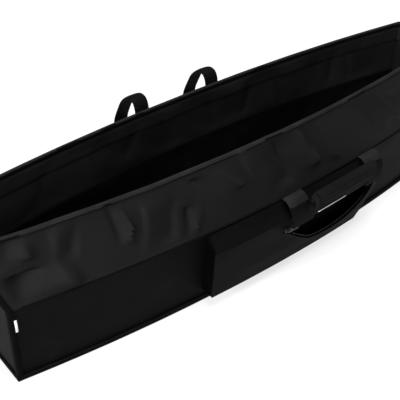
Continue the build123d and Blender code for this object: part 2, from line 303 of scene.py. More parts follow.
def makeTape(name, steps, length, width, thick, place, sides=20):
    # a flat tape laid along place(t, across, out), with its ends closed
    piece = tapeSolid(name, steps, sides)

    def laid(p):
        across, out = squareUp(p.y, p.z)
        return place(p.x, across * width / 2, out * thick / 2)

    def pattern(p):
        across, out = squareUp(p.y, p.z)
        return Vector((p.x * length, across * width / 2, out * thick / 2)) * mm

    lay(piece, laid, pattern)
    return tidyNormals(piece)


def makeRing(name, look, sides=14):
    # a closed tape round the whole bag; with a wave, its height wanders a little
    clearSelection()
    bpy.ops.mesh.primitive_torus_add(
        major_segments=loopSteps, minor_segments=sides, major_radius=2, minor_radius=1, location=(0, 0, 0)
    )
    piece = named(name)

    def split(p):
        across, up = squareUp(math.hypot(p.x, p.y) - 2, p.z, look["power"])
        return round(stepRound(p)), across, up

    def laid(p):
        step, across, up = split(p)
        wave = look["wave"] * noise.noise(Vector((step * 0.07, 0.4, 0)))
        return loopPoint(step, look["z"] + wave + up * look["halfUp"], look["out"] + across * look["halfOut"])

    def pattern(p):
        step, across, up = split(p)
        return Vector((step * stepLength, up * look["halfUp"], across * look["halfOut"])) * mm

    lay(piece, laid, pattern)
    return tidyNormals(piece)


def makeBlocks(name, count, bevel):
    # a row of small rounded blocks, two units apart, that lay() then puts in their places
    clearSelection()
    bpy.ops.mesh.primitive_cube_add(size=1, location=(0, 0, 0))
    piece = editWhole(named(name), (bpy.ops.mesh.bevel, {"offset": bevel, "segments": 1}))
    return finishWith(piece, ("ARRAY", {
        "count": count, "use_relative_offset": False, "use_constant_offset": True,
        "constant_offset_displace": (2.0, 0, 0),
    }))


def blockOf(p):
    # which block of the row a point belongs to, and how far along that block it lies
    index = math.floor((p.x + 1) / 2)
    return index, p.x - 2 * index


# materials
def mixIn(tree, kind, **sockets):
    node = tree.nodes.new(kind)
    for key, value in sockets.items():
        if key in node.inputs:
            node.inputs[key].default_value = value
        else:
            setattr(node, key, value)
    return node


def startMaterial(name, gloss):
    material = bpy.data.materials.new(name)
    material.use_nodes = True
    tree = material.node_tree
    shader = tree.nodes["Principled BSDF"]
    shader.inputs["Specular IOR Level"].default_value = gloss
    return material, tree, shader, tree.nodes.new("ShaderNodeTexCoord")


def setTone(tree, shade, low, high, look):
    # the look's dark and light tones, mixed by a texture's value between low and high
    tone = tree.nodes.new("ShaderNodeValToRGB")
    for element, position, colour in zip(tone.color_ramp.elements, (low, high), (look["dark"], look["light"])):
        element.position = position
        element.color = (*colour, 1)
    tree.links.new(shade, tone.inputs["Fac"])
    return tone.outputs["Color"]


def setRough(tree, shader, shade, limits):
    rough = mixIn(tree, "ShaderNodeMapRange", **{"To Min": limits[0], "To Max": limits[1]})
    tree.links.new(shade, rough.inputs["Value"])
    tree.links.new(rough.outputs["Result"], shader.inputs["Roughness"])


def clothMaterial(name, cloth):
    # woven cloth: two crossing sets of threads, cloudy wear in the colour, uneven roughness
    material, tree, shader, place = startMaterial(name, cloth["gloss"])
    links = tree.links
    measures = mixIn(tree, "ShaderNodeAttribute", attribute_name="weave")
    threads = []
    for axis in ("X", "Y"):
        wave = mixIn(tree, "ShaderNodeTexWave", Scale=cloth["threads"], Distortion=1.1, Detail=1.0)
        wave.inputs["Detail Scale"].default_value = 1.6
        wave.bands_direction = axis
        links.new(measures.outputs["Vector"], wave.inputs["Vector"])
        threads.append(wave)
    weave = mixIn(tree, "ShaderNodeMath", operation="MULTIPLY")
    links.new(threads[0].outputs["Fac"], weave.inputs[0])
    links.new(threads[1].outputs["Fac"], weave.inputs[1])
    cloud = mixIn(tree, "ShaderNodeTexNoise", Scale=cloth["cloud"], Detail=4.0, Roughness=0.55)
    links.new(place.outputs["Object"], cloud.inputs["Vector"])
    tone = setTone(tree, cloud.outputs["Fac"], 0.32, 0.72, cloth)
    thread = mixIn(tree, "ShaderNodeMix", data_type="RGBA", blend_type="MULTIPLY")
    thread.inputs[0].default_value = cloth["contrast"]
    links.new(tone, thread.inputs[6])
    links.new(weave.outputs["Value"], thread.inputs[7])
    links.new(thread.outputs[2], shader.inputs["Base Color"])
    setRough(tree, shader, cloud.outputs["Fac"], cloth["rough"])
    crumple = mixIn(tree, "ShaderNodeTexNoise", Scale=cloth["crumple"], Detail=3.0, Roughness=0.5)
    links.new(place.outputs["Object"], crumple.inputs["Vector"])
    broad = mixIn(tree, "ShaderNodeBump", Strength=cloth["soft"], Distance=0.0012)
    links.new(crumple.outputs["Fac"], broad.inputs["Height"])
    fine = mixIn(tree, "ShaderNodeBump", Strength=cloth["bump"], Distance=0.0003)
    links.new(weave.outputs["Value"], fine.inputs["Height"])
    links.new(broad.outputs["Normal"], fine.inputs["Normal"])
    links.new(fine.outputs["Normal"], shader.inputs["Normal"])
    return material


def hardMaterial(name, hard):
    # lacquered metal or moulded board: fine grain, worn a little lighter in patches
    material, tree, shader, place = startMaterial(name, hard["gloss"])
    links = tree.links
    shader.inputs["Metallic"].default_value = hard["metal"]
    grain = mixIn(tree, "ShaderNodeTexNoise", Scale=hard["grain"], Detail=5.0, Roughness=0.6)
    wear = mixIn(tree, "ShaderNodeTexNoise", Scale=hard["patches"], Detail=3.0, Roughness=0.5)
    for texture in (grain, wear):
        links.new(place.outputs["Object"], texture.inputs["Vector"])
    links.new(setTone(tree, wear.outputs["Fac"], 0.45, 0.8, hard), shader.inputs["Base Color"])
    setRough(tree, shader, grain.outputs["Fac"], hard["rough"])
    bump = mixIn(tree, "ShaderNodeBump", Strength=hard["bump"], Distance=0.0002)
    links.new(grain.outputs["Fac"], bump.inputs["Height"])
    links.new(bump.outputs["Normal"], shader.inputs["Normal"])
    return material


def clothLook(dark, light, gloss, threads=900.0, rough=(0.75, 0.95), **more):
    look = {
        "dark": (dark,) * 3, "light": (light,) * 3, "threads": threads, "gloss": gloss, "rough": rough,
        "cloud": 9.0, "contrast": 0.35, "crumple": 34.0, "soft": 0.25, "bump": 0.5,
    }
    look.update(more)
    return look


# one wall fabric in three copies whose tones stand in for light: a darker copy paints shade on the lower walls, the
# pocket and the base, a lighter copy paints light on the upper walls that lean back to face upwards, and the end copy
# paints the key light falling on the ends
shadedLowerCloth = clothMaterial("shadedLowerCloth", clothLook(
    0.001, 0.0023, gloss=0.035, rough=(0.45, 0.65), cloud=7.0, soft=0.3))
litUpperCloth = clothMaterial("litUpperCloth", clothLook(
    0.0028, 0.0056, gloss=0.09, rough=(0.42, 0.6), cloud=7.0, soft=0.3))
keyLitEndCloth = clothMaterial("keyLitEndCloth", clothLook(
    0.0014, 0.0029, gloss=0.04, rough=(0.5, 0.7), cloud=7.0))
liningCloth = clothMaterial("liningCloth", clothLook(
    0.002, 0.008, threads=1300.0, gloss=0.06, rough=(0.5, 0.8), soft=0.8))
bindingTape = clothMaterial("bindingTape", clothLook(0.0015, 0.0035, threads=1500.0, gloss=0.03, cloud=30.0))
seamCloth = clothMaterial("seamCloth", clothLook(0.0004, 0.001, threads=1500.0, gloss=0.01, cloud=30.0))
# a lighter copy of the binding for upward-facing faces: painted highlight on the top of the rim tape and of the handle
# legs
paintedHighlightCloth = clothMaterial("paintedHighlightCloth", clothLook(
    0.006, 0.014, threads=1500.0, gloss=0.08, rough=(0.5, 0.7), cloud=30.0))
webCloth = clothMaterial("webCloth", clothLook(
    0.0014, 0.003, threads=2400.0, gloss=0.04, rough=(0.5, 0.7), bump=0.9, cloud=40.0))
gripCloth = clothMaterial("gripCloth", clothLook(0.0028, 0.006, threads=1100.0, gloss=0.06, cloud=26.0))
hookCloth = clothMaterial("hookCloth", clothLook(
    0.003, 0.009, threads=3200.0, gloss=0.15, bump=1.0, cloud=90.0))
zipCloth = clothMaterial("zipCloth", clothLook(0.002, 0.005, threads=2600.0, gloss=0.06, cloud=60.0))
threadCloth = clothMaterial("threadCloth", clothLook(0.006, 0.014, threads=5000.0, gloss=0.2, cloud=200.0))
paleTape = clothMaterial("paleTape", clothLook(
    0.62, 0.8, threads=2200.0, gloss=0.3, cloud=60.0, contrast=0.12))
zipNylon = hardMaterial("zipNylon", {
    "dark": (0.006,) * 3, "light": (0.014,) * 3, "metal": 0.0, "gloss": 0.4, "rough": (0.35, 0.55), "grain": 900.0,
    "patches": 120.0, "bump": 0.2,
})
zipMetal = hardMaterial("zipMetal", {
    "dark": (0.01,) * 3, "light": (0.03,) * 3, "metal": 0.4, "gloss": 0.5, "rough": (0.28, 0.5), "grain": 1400.0,
    "patches": 260.0, "bump": 0.15,
})
boardPlastic = hardMaterial("boardPlastic", {
    "dark": (0.004,) * 3, "light": (0.008,) * 3, "metal": 0.0, "gloss": 0.15, "rough": (0.6, 0.85), "grain": 500.0,
    "patches": 12.0, "bump": 0.5,
})
print("materials made")

# walls: one lofted shell of cloth, closed inside and along its rim
shellLook = {"rows": 44, "top": 203.4, "thick": 2.6, "endFacing": 0.7}


def makeShell():
    clearSelection()
    bpy.ops.mesh.primitive_cylinder_add(
        vertices=loopSteps, radius=1, depth=1, end_fill_type="NOTHING", location=(0, 0, 0.5)
    )
    piece = named("bagShell")
    cutEdges(piece, shellLook["rows"] - 1, lambda a, b: abs(a.z - b.z) > 0.5)
    top = shellLook["top"]
    foldZ = bagShape["fold"]["z"]
    foldRow = round(foldZ / top * shellLook["rows"]) / shellLook["rows"]

    def height(t):
        if t <= foldRow:
            return t / foldRow * foldZ
        return foldZ + (t - foldRow) / (1 - foldRow) * (top - foldZ)

    def laid(p):
        return loopPoint(round(stepRound(p)), height(p.z))

    def pattern(p):
        return Vector((round(stepRound(p)) * stepLength, height(p.z), 0)) * mm

    lay(piece, laid, pattern)
    finishWith(piece, ("SOLIDIFY", {"thickness": shellLook["thick"] * mm, "offset": -1}))
    dress(piece, "bag", [litUpperCloth, keyLitEndCloth, shadedLowerCloth], [
        "front_lower_panel", "front_upper_panel", "back_lower_panel", "back_upper_panel",
        "left_end_panel", "right_end_panel",
    ])
    # faces are sorted by how light falls on them: ends get the end copy, the lower wall the copy with painted shade,
    # the upper wall the copy with painted light
    for face in piece.data.polygons:
        if abs(face.normal.x) > shellLook["endFacing"]:
            face.material_index = 1
        elif face.center.z < foldZ * mm:
            face.material_index = 2
    return piece


makeShell()
print("shell made")

# base: a cloth bottom with a board on it
baseLook = {"rings": 5, "ringWide": 0.12, "thick": 3.0, "pucker": 1.0, "lift": 0.25}


def makeBase():
    clearSelection()
    bpy.ops.mesh.primitive_circle_add(vertices=loopSteps, radius=1, fill_type="NGON", location=(0, 0, 0))
    ring = (bpy.ops.mesh.inset, {"thickness": baseLook["ringWide"], "use_even_offset": False})
    piece = editWhole(named("baseCloth"), *[ring] * baseLook["rings"], (bpy.ops.mesh.poke, {}))

    def laid(p):
        share = min(1.0, math.hypot(p.x, p.y))
        edge = loopPoint(stepRound(p), 0.0)
        pucker = noise.noise(Vector((edge.x * 30, edge.y * 30, share * 3))) * baseLook["pucker"] * (1 - share) * share
        return Vector((edge.x * share, edge.y * share, (baseLook["lift"] + abs(pucker)) * mm * (1 - share ** 8)))

    lay(piece, laid, laid)
    thicken(piece, baseLook["thick"], offset=1)
    return dress(piece, "bag", [shadedLowerCloth], ["base_panel"])


makeBase()

# tapes sewn round the bag
rimLook = {"out": -1.5, "z": 201.4, "halfOut": 2.5, "halfUp": 3.6, "wave": 0.5, "power": 2.3, "paintedHighlightAbove": 0.55}
baseTapeLook = {"out": 1.1, "z": 5.4, "halfOut": 1.3, "halfUp": 4.6, "wave": 0.0, "power": 4.0}
hemLook = {"out": -3.4, "z": 186.5, "halfOut": 0.6, "halfUp": 9.8, "wave": 0.0, "power": 4.0}

rimTape = makeRing("rimTape", rimLook)
dress(rimTape, "bag", [bindingTape, paintedHighlightCloth], ["rim_binding"])
# faces turned upwards get the lighter cloth: a painted highlight along the rim tape's top
for face in rimTape.data.polygons:
    face.material_index = 1 if face.normal.z > rimLook["paintedHighlightAbove"] else 0
dress(makeRing("baseTape", baseTapeLook), "bag", [bindingTape], ["base_binding"])
dress(makeRing("hemBand", hemLook), "bag", [liningCloth], ["inner_hem"])

foldLook = {"reach": 408.0, "width": 2.6, "thick": 1.6, "out": 0.45, "steps": 200}


def makeFoldCord(name, side, node):
    reach = foldLook["reach"]

    def place(t, across, out):
        return wallPoint((2 * t - 1) * reach, bagShape["fold"]["z"] + across, side, foldLook["out"] + out)

    piece = makeTape(name, foldLook["steps"], 2 * reach, foldLook["width"], foldLook["thick"], place, sides=12)
    return dress(piece, "bag", [bindingTape], [node])


makeFoldCord("frontFoldCord", front, "front_fold_piping")
makeFoldCord("backFoldCord", back, "back_fold_piping")

cornerLook = {"low": 9.0, "high": 197.5, "steps": 60, "leg": 7.0, "thick": 1.5, "out": 0.9}


def makeCornerTape(endSide, side, node):
    # an L-shaped tape folded over one corner of the bag
    name = node.replace("_binding", "_tape").replace("_", "")
    leg = cornerLook["leg"]

    def place(t, across, out):
        z = cornerLook["low"] + t * (cornerLook["high"] - cornerLook["low"])
        half = levelAt(z)["half"]
        stand = cornerLook["out"] + out
        if across > 0:
            x = endSide * (half - across + min(stand, across))
            return wallPoint(x, z, side, stand)
        corner = wallPoint(half, z, side, stand + across)
        return Vector((endSide * (half + stand) * mm, corner.y, z * mm))

    length = cornerLook["high"] - cornerLook["low"]
    piece = makeTape(name, cornerLook["steps"], length, 2 * leg, cornerLook["thick"], place, sides=28)
    return dress(piece, "bag", [bindingTape], [node])


for endName, endSide in (("left", -1), ("right", 1)):
    for sideName, side in (("front", front), ("back", back)):
        makeCornerTape(endSide, side, f"{sideName}_{endName}_corner_binding")

tabLow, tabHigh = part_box("side_tab")
tabLook = {"shift": -1.5, "out": 2.3, "belly": 0.5, "width": 3.2, "thick": 0.9, "steps": 14}


def makeSideTab():
    # a blank woven tag caught in the front left seam
    middleX = (tabLow[0] + tabHigh[0]) / 2 / mm
    middleZ = (tabLow[2] + tabHigh[2]) / 2 / mm
    tall = (tabHigh[2] - tabLow[2]) / mm

    def place(t, across, out):
        lift = tabLook["belly"] * math.sin(math.pi * t)
        x = middleX + across + tabLook["shift"]
        return wallPoint(x, middleZ + (t - 0.5) * tall, front, tabLook["out"] + lift + out)

    piece = makeTape("sideTab", tabLook["steps"], tall, tabLook["width"], tabLook["thick"], place, sides=12)
    return dress(piece, "bag", [paleTape], ["side_tab"])


makeSideTab()
print("tapes made")

# front pocket
pocketLook = {
    "left": -147.0, "right": 196.0, "low": 21.0, "turnX": 146.0, "shoulderZ": 78.0, "seamZ": 105.9, "depth": 22.3,
    "columns": 150, "lowRows": 16, "highRows": 6, "thick": 2.0, "mouthTop": 88.6, "zipZ": 85.0, "foldZ": 124.6,
    "sideFade": 26, "lowFade": 24, "highFade": 16, "slack": 0.7, "wave": 1.5,
    "roll": 2.0, "rollFade": 7.0, "mouthLeft": (-34, -10), "mouthRight": (-186, -160),
    "lip": [(-27, 84), (-18, 79), (-6, 70.5), (14, 55), (38, 41), (75, 36), (112, 39), (140, 48), (165, 63), (183, 84)],
}
pocketSpan = pocketLook["right"] - pocketLook["left"]


def alongLip(x):
    # height of the open zip's lower edge at x, a smooth line through its points
    lip = pocketLook["lip"]
    if x <= lip[0][0] or x >= lip[-1][0]:
        return pocketLook["zipZ"]
    spot = max(i for i in range(len(lip) - 1) if lip[i][0] <= x)
    before, a, b, after = (lip[max(0, min(len(lip) - 1, spot + n))] for n in (-1, 0, 1, 2))
    t = (x - a[0]) / (b[0] - a[0])
    slopeA = (b[1] - before[1]) / (b[0] - before[0]) * (b[0] - a[0])
    slopeB = (after[1] - a[1]) / (after[0] - a[0]) * (b[0] - a[0])
    h = (2 * t ** 3 - 3 * t ** 2 + 1, t ** 3 - 2 * t ** 2 + t, -2 * t ** 3 + 3 * t ** 2, t ** 3 - t ** 2)
    return h[0] * a[1] + h[1] * slopeA + h[2] * b[1] + h[3] * slopeB


def pocketFloor(x):
    if x <= pocketLook["turnX"]:
        return pocketLook["low"]
    share = (x - pocketLook["turnX"]) / (pocketLook["right"] - pocketLook["turnX"])
    return pocketLook["low"] + share * (pocketLook["shoulderZ"] - pocketLook["low"])


def pocketOut(x, z):
    # the pocket's cloth: fuller in the middle, rolled outwards along the open lip
    look = pocketLook
    side = smooth(0, look["sideFade"], x - look["left"]) * smooth(0, look["sideFade"], look["right"] - x)
    rise = smooth(0, look["lowFade"], z - look["low"]) * smooth(0, look["highFade"], look["seamZ"] - z)
    soft = noise.noise(Vector((x * 0.016, z * 0.03, 2.2))) * look["wave"] + look["slack"]
    inMouth = smooth(*look["mouthLeft"], x) * smooth(*look["mouthRight"], -x)
    below = alongLip(x) - z
    roll = look["roll"] * inMouth * math.exp(-max(0.0, below) / look["rollFade"]) if below >= -0.1 else 0.0
    return look["depth"] + side * rise * soft + roll


def makePocketFace():
    look = pocketLook
    rows = look["lowRows"] + 1 + look["highRows"]
    piece = flatSheet("pocketFace", look["columns"], rows)

    mouthLeft, mouthRight = look["lip"][0][0], look["lip"][-1][0]

    def spot(p):
        x = look["left"] + p.x * pocketSpan
        row = round(p.y * rows)
        inMouth = mouthLeft < x < mouthRight
        if row <= look["lowRows"]:
            z = pocketFloor(x) + row / look["lowRows"] * (alongLip(x) - pocketFloor(x))
        else:
            low = look["mouthTop"] if inMouth else look["zipZ"]
            z = low + (row - look["lowRows"] - 1) / look["highRows"] * (look["seamZ"] - low)
        return x, z

    only(piece)
    bpy.ops.object.mode_set(mode="EDIT")
    bpy.ops.mesh.select_mode(type="FACE")
    bpy.ops.mesh.select_all(action="DESELECT")
    bpy.ops.object.mode_set(mode="OBJECT")
    for face in piece.data.polygons:
        x = look["left"] + face.center.x * pocketSpan
        inGap = look["lowRows"] < face.center.y * rows < look["lowRows"] + 1
        face.select = inGap and mouthLeft + 1 < x < mouthRight - 1
    bpy.ops.object.mode_set(mode="EDIT")
    bpy.ops.mesh.delete(type="FACE")
    bpy.ops.object.mode_set(mode="OBJECT")

    def laid(p):
        x, z = spot(p)
        return wallPoint(x, z, front, pocketOut(x, z))

    def pattern(p):
        x, z = spot(p)
        return Vector((x, z, 0)) * mm

    lay(piece, laid, pattern)
    editWhole(piece, (bpy.ops.mesh.remove_doubles, {"threshold": 5 * weldGap}))
    thicken(piece, look["thick"])
    return dress(piece, "bag", [shadedLowerCloth], ["pocket_front_panel"])


makePocketFace()


def gussetPath(share):
    # from the fold down the left side, along the bottom, up the slant and up the right side to the fold
    look = pocketLook
    corners = [
        (look["left"], look["foldZ"]), (look["left"], look["seamZ"]), (look["left"], look["low"]),
        (look["turnX"], look["low"]), (look["right"], look["shoulderZ"]), (look["right"], look["seamZ"]),
        (look["right"], look["foldZ"]),
    ]
    lengths = [math.dist(a, b) for a, b in zip(corners, corners[1:])]
    run = share * sum(lengths)
    for (a, b), length in zip(zip(corners, corners[1:]), lengths):
        if run <= length or b == corners[-1]:
            t = min(1.0, run / length)
            return a[0] + (b[0] - a[0]) * t, a[1] + (b[1] - a[1]) * t
        run -= length


gussetLook = {"columns": 260, "rows": 6, "length": 610, "deep": 21, "pinch": 0.9, "tuck": 0.2, "narrow": 0.92,
              "thick": 1.6}


def makeGusset():
    look = pocketLook
    piece = flatSheet("pocketGusset", gussetLook["columns"], gussetLook["rows"])

    def laid(p):
        x, z = gussetPath(p.x)
        pinch = math.sin(math.pi * p.y) * gussetLook["pinch"]
        inward = pinch if x <= look["left"] + 0.1 else (-pinch if z > look["low"] + 0.1 else 0.0)
        lift = pinch if z <= look["low"] + 0.1 else 0.0
        reach = look["depth"] - gussetLook["tuck"]
        if z > look["seamZ"]:
            reach *= 1 - gussetLook["narrow"] * (z - look["seamZ"]) / (look["foldZ"] - look["seamZ"])
        return wallPoint(x + inward, z + lift, front, p.y * reach)

    lay(piece, laid, lambda p: Vector((p.x * gussetLook["length"], p.y * gussetLook["deep"], 0)) * mm)
    thicken(piece, gussetLook["thick"])
    nodes = ["pocket_left_gusset", "pocket_base_gusset", "pocket_right_gusset"]
    return dress(piece, "bag", [seamCloth], nodes)


makeGusset()


pocketTopLook = {"columns": 150, "rows": 8, "length": 343, "deep": 28, "below": 2.2, "out": 1.8, "wave": 1.1,
                 "sink": 1.2, "thick": 1.8}


def makePocketTop():
    look = pocketTopLook
    piece = flatSheet("pocketTop", look["columns"], look["rows"])
    topZ = bagShape["fold"]["z"] - look["below"]

    def laid(p):
        x = pocketLook["left"] + p.x * pocketSpan
        slack = noise.noise(Vector((x * 0.02, p.y * 1.5, 9.0))) * look["wave"] * math.sin(math.pi * p.y)
        z = pocketLook["seamZ"] + p.y * (topZ - pocketLook["seamZ"])
        out = pocketLook["depth"] * (1 - p.y) + look["out"] * p.y
        return wallPoint(x, z - math.sin(math.pi * p.y) * look["sink"], front, out + slack)

    lay(piece, laid, lambda p: Vector((p.x * look["length"], p.y * look["deep"], 0)) * mm)
    thicken(piece, look["thick"])
    return dress(piece, "bag", [shadedLowerCloth], ["pocket_top_panel"])


makePocketTop()


cordLook = {"steps": 120, "width": 2.6, "thick": 1.8, "out": 0.6}


def makeSeamCord():
    def place(t, across, out):
        x = pocketLook["left"] + t * pocketSpan
        return wallPoint(x, pocketLook["seamZ"] + across, front, pocketLook["depth"] + cordLook["out"] + out)

    piece = makeTape("pocketSeam", cordLook["steps"], pocketSpan, cordLook["width"], cordLook["thick"], place, sides=10)
    return dress(piece, "bag", [bindingTape], ["pocket_seam_piping"])


makeSeamCord()


backingLook = {"columns": 80, "rows": 20, "inset": 3, "lift": 2, "high": 118, "out": 0.7, "thick": 0.5,
               "length": 340, "tall": 95}


def makePocketLining():
    look = backingLook
    piece = flatSheet("pocketLining", look["columns"], look["rows"])

    def laid(p):
        x = pocketLook["left"] + look["inset"] + p.x * (pocketSpan - 2 * look["inset"])
        z = pocketFloor(x) + look["lift"] + p.y * (look["high"] - pocketFloor(x))
        return wallPoint(x, z, front, look["out"])

    lay(piece, laid, lambda p: Vector((p.x * look["length"], p.y * look["tall"], 0)) * mm)
    thicken(piece, look["thick"], offset=0)
    return dress(piece, "bag", [liningCloth], ["pocket_back_lining"])


makePocketLining()
print("pocket made")

# zip: tapes, teeth, and the CAD slider, pull and stops
zipLook = {
    "tapeOut": 19.2, "tapeWide": 7.0, "tapeThick": 0.9, "tapeSteps": 90, "upperZ": 88.6,
    "rowOut": 20.7, "toothLong": 1.3, "toothDeep": 1.7, "toothTall": 1.7, "toothBevel": 0.22,
    "left": -23.0, "right": 179.0, "upperRowZ": 84.8, "lowerRowUp": 2.6, "lowerTapeOut": 1.2, "lowerRowOut": 0.6,
}


def lipFrame(x):
    # a point on the lip and the upward direction across it
    slope = (alongLip(x + 1) - alongLip(x - 1)) / 2
    length = math.hypot(1, slope)
    return alongLip(x), (-slope / length, 1 / length)


def makeZipTape(name, node, place, length):
    piece = makeTape(name, zipLook["tapeSteps"], length, zipLook["tapeWide"], zipLook["tapeThick"], place, sides=14)
    return dress(piece, "bag", [zipCloth], [node])


def upperTape(t, across, out):
    return wallPoint(-30 + t * 215, zipLook["upperZ"] + across, front, zipLook["tapeOut"] + out)


def lowerTape(t, across, out):
    x = -4 + t * 180
    z, (upX, upZ) = lipFrame(x)
    reach = zipLook["tapeOut"] + zipLook["lowerTapeOut"] + out
    return wallPoint(x + upX * (across + 0.5), z + upZ * (across - 0.5), front, reach)


makeZipTape("zipTapeUp", "zip_tape_upper", upperTape, 215)
makeZipTape("zipTapeLow", "zip_tape_lower", lowerTape, 200)


def makeTeeth(name, node, count, spotOf):
    # spotOf(t, along, out, up) gives the place of a point of the tooth that stands at t along the row
    piece = makeBlocks(name, count, zipLook["toothBevel"])

    def laid(p):
        index, along = blockOf(p)
        t = index / (count - 1)
        return spotOf(t, along * zipLook["toothLong"], p.y * zipLook["toothDeep"], p.z * zipLook["toothTall"])

    lay(piece, laid)
    tidyNormals(piece)
    return dress(piece, "bag", [zipNylon], [node])


def upperTooth(t, along, out, up):
    x = zipLook["left"] + t * (zipLook["right"] - zipLook["left"]) + along
    return wallPoint(x, zipLook["upperRowZ"] + up, front, zipLook["rowOut"] + out)


def lowerTooth(t, along, out, up):
    x = -2 + t * 162
    z, (upX, upZ) = lipFrame(x)
    rise = up + zipLook["lowerRowUp"]
    reach = zipLook["rowOut"] + zipLook["lowerRowOut"] + out
    return wallPoint(x + along * upZ + upX * rise, z - along * upX + upZ * rise, front, reach)


makeTeeth("zipTeethUp", "zip_teeth_upper", 100, upperTooth)
makeTeeth("zipTeethLow", "zip_teeth_lower", 92, lowerTooth)

for node, material in (
    ("zip_stops", zipMetal), ("zip_slider", zipMetal), ("zip_pull", zipMetal), ("base_board", boardPlastic),
):
    piece = frame["nodes"][node]
    piece.data.materials.clear()
    piece.data.materials.append(material)
print("zip made")

# carry handle, in its own frame: along the roots, outwards, and up
swing = next(joint for joint in frame["joints"] if joint["name"] == "handle_swing")
handleAlong = -Vector(swing["axis"]).normalized()
handleOut = Vector((handleAlong.y, -handleAlong.x, 0))
handleRoot = Vector(swing["pos_m"])
handleLook = {
    "route": [(0, 0), (7.8, -0.6), (15.8, -7.1), (21.8, -17.6), (24.4, -29.6), (24.4, -39.6)],
    "webbing": 38.0, "thick": 2.3, "legSpot": 82.56, "legLength": 52, "cup": 0.9, "paintedHighlightAbove": 0.6, "tuck": 0.32,
    "gripOut": 28.3, "gripUp": -8.6, "gripLength": 125.1, "gripDepth": 20.0, "gripHeight": 30.0,
    "gripPower": 2.6,
}


def handlePoint(along, out, up):
    return handleRoot + (handleAlong * along + handleOut * out) * mm + Vector((0, 0, up * mm))


def smoothRoute(points, t):
    # position and direction on a smooth line through the points, t from 0 to 1
    spot = min(int(t * (len(points) - 1)), len(points) - 2)
    u = t * (len(points) - 1) - spot
    p = [Vector(points[max(0, min(len(points) - 1, spot + n))]) for n in (-1, 0, 1, 2)]
    a = (p[2] - p[0]) / 2 if spot > 0 else p[2] - p[1]
    b = (p[3] - p[1]) / 2 if spot < len(points) - 2 else p[2] - p[1]
    h = (2 * u ** 3 - 3 * u ** 2 + 1, u ** 3 - 2 * u ** 2 + u, -2 * u ** 3 + 3 * u ** 2, u ** 3 - u ** 2)
    d = (6 * u ** 2 - 6 * u, 3 * u ** 2 - 4 * u + 1, -6 * u ** 2 + 6 * u, 3 * u ** 2 - 2 * u)
    place = p[1] * h[0] + a * h[1] + p[2] * h[2] + b * h[3]
    run = p[1] * d[0] + a * d[1] + p[2] * d[2] + b * d[3]
    return place, run.normalized()


def makeLeg(name, node, along):
    inward = -1 if along > 0 else 1

    def place(t, across, out):
        spot, run = smoothRoute(handleLook["route"], t)
        if across * inward > 0:
            across *= 1 + handleLook["tuck"] * smooth(0.3, 0.8, t)
        cup = handleLook["cup"] * (2 * across / handleLook["webbing"]) ** 2 * math.sin(math.pi * t)
        normal = Vector((-run.y, run.x))
        spot = spot + normal * (out - cup)
        return handlePoint(along + across, spot.x, spot.y)

    length, width, thick = handleLook["legLength"], handleLook["webbing"], handleLook["thick"]
    piece = makeTape(name, 40, length, width, thick, place, sides=32)
    dress(piece, "handle", [webCloth, paintedHighlightCloth], [node])
    # faces turned upwards get the lighter cloth: a painted highlight on the top of each leg's fold
    for face in piece.data.polygons:
        face.material_index = 1 if face.normal.z > handleLook["paintedHighlightAbove"] else 0
    return piece


makeLeg("handleLegLeft", "handle_leg_left", -handleLook["legSpot"])
makeLeg("handleLegRight", "handle_leg_right", handleLook["legSpot"])


coreLook = {"longer": 24, "below": 4, "width": 12.0, "thick": 3.0}


def makeCore():
    length = handleLook["gripLength"] + coreLook["longer"]

    def place(t, across, out):
        up = handleLook["gripUp"] - coreLook["below"] + across
        return handlePoint((t - 0.5) * length, handleLook["gripOut"] + out, up)

    piece = makeTape("gripCore", 40, length, coreLook["width"], coreLook["thick"], place, sides=16)
    return dress(piece, "handle", [webCloth], ["grip_core"])


makeCore()


def gripPoint(along, out, up):
    # a place measured from the middle of the grip
    return handlePoint(along, handleLook["gripOut"] + out, handleLook["gripUp"] + up)


def gripSection(angle, grown=0.0):
    # the rounded section of the grip at an angle from straight out, as out and up
    halfOut = handleLook["gripDepth"] / 2 + grown
    halfUp = handleLook["gripHeight"] / 2 + grown
    power = handleLook["gripPower"]
    c, s = math.cos(angle), math.sin(angle)
    size = (abs(c) ** power + abs(s) ** power) ** (-1 / power)
    return c * size * halfOut, s * size * halfUp


padLook = {
    "voxel": 3.0, "pressure": 4.0, "quality": 5, "frames": 20, "cap": 1.6, "shrink": 0.9,
    "longer": 1.4, "endPull": 0.03, "girth": 0.0125, "fill": 0.7,
}


def swellPad(piece):
    # the padding pushes the cover out between its seams, then the cover is fixed as it lies
    only(piece)
    remesh = piece.modifiers.new("Remesh", "REMESH")
    remesh.mode = "VOXEL"
    remesh.voxel_size = padLook["voxel"] * mm
    bpy.ops.object.modifier_apply(modifier=remesh.name)
    before = [vertex.co.copy() for vertex in piece.data.vertices]
    cloth = piece.modifiers.new("Cloth", "CLOTH")
    cloth.settings.use_pressure = True
    cloth.settings.uniform_pressure_force = padLook["pressure"]
    cloth.settings.effector_weights.gravity = 0
    cloth.settings.quality = padLook["quality"]
    for number in range(1, padLook["frames"] + 1):
        bpy.context.scene.frame_set(number)
    bpy.ops.object.modifier_apply(modifier=cloth.name)
    bpy.context.scene.frame_set(1)
    for vertex, old in zip(piece.data.vertices, before):
        move = vertex.co - old
        if move.length > padLook["cap"] * mm:
            vertex.co = old + move.normalized() * padLook["cap"] * mm
    return piece


